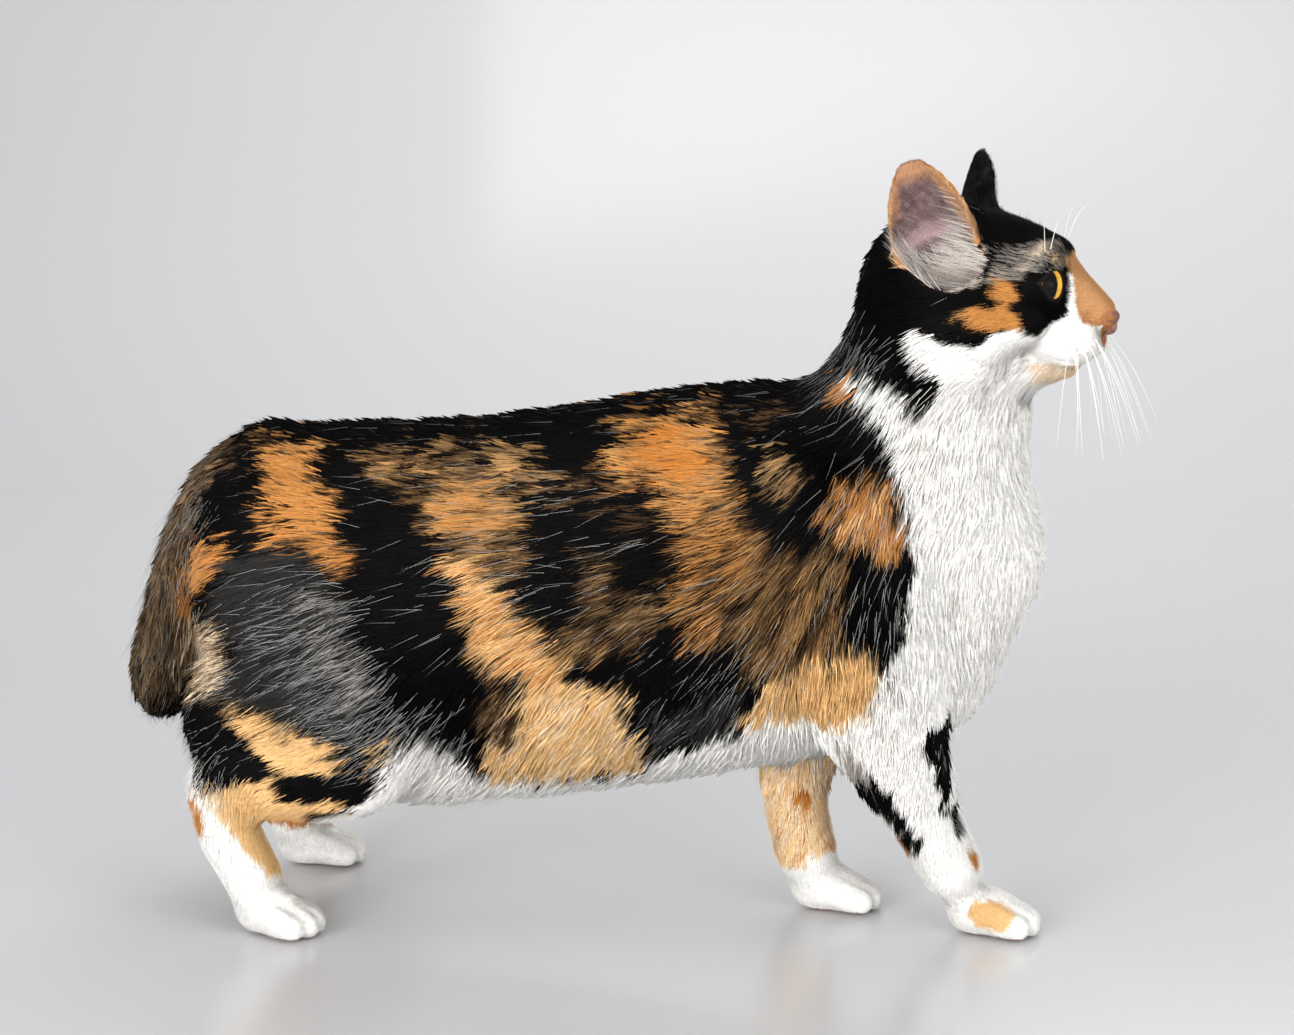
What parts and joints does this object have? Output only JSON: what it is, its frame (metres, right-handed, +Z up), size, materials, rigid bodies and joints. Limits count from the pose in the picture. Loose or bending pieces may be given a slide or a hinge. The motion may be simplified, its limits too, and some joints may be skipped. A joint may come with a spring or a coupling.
{
  "type": "calico cat model",
  "caption": "Life-size standing calico bobtail cat, head high and turned slightly to its right, with a short thick hanging tail.",
  "frame": {"origin": "middle of the bounding box's underside, on the floor under the belly", "axes": "+X forward along the cat, +Y to the cat's left, +Z up; the floor is at Z = 0"},
  "size_m": [0.4478, 0.1534, 0.3463],
  "materials": {
    "fur_black": "black and brown-black plush coat with orange patches",
    "fur_white": "white plush coat",
    "fur_orange": "orange and cream plush coat",
    "fur_ticked": "dark brown coat ticked with tan",
    "eye": "clear glossy eye, amber iris and black pupil",
    "nose_leather": "fine-grained pinkish brown skin"
  },
  "bodies": {
    "root": {"ear_left": "fur_black", "ear_right": "fur_ticked", "eye_left": "eye", "eye_right": "eye", "fore_leg_left": "fur_orange", "fore_leg_right": "fur_white", "fore_paw_left": "fur_white", "fore_paw_right": "fur_white", "head": "fur_black", "hind_leg_left": "fur_orange", "hind_leg_right": "fur_orange", "hind_paw_left": "fur_white", "hind_paw_right": "fur_white", "neck": "fur_white", "nose": "nose_leather", "tail": "fur_ticked", "trunk": "fur_black"}
  },
  "joints": []
}
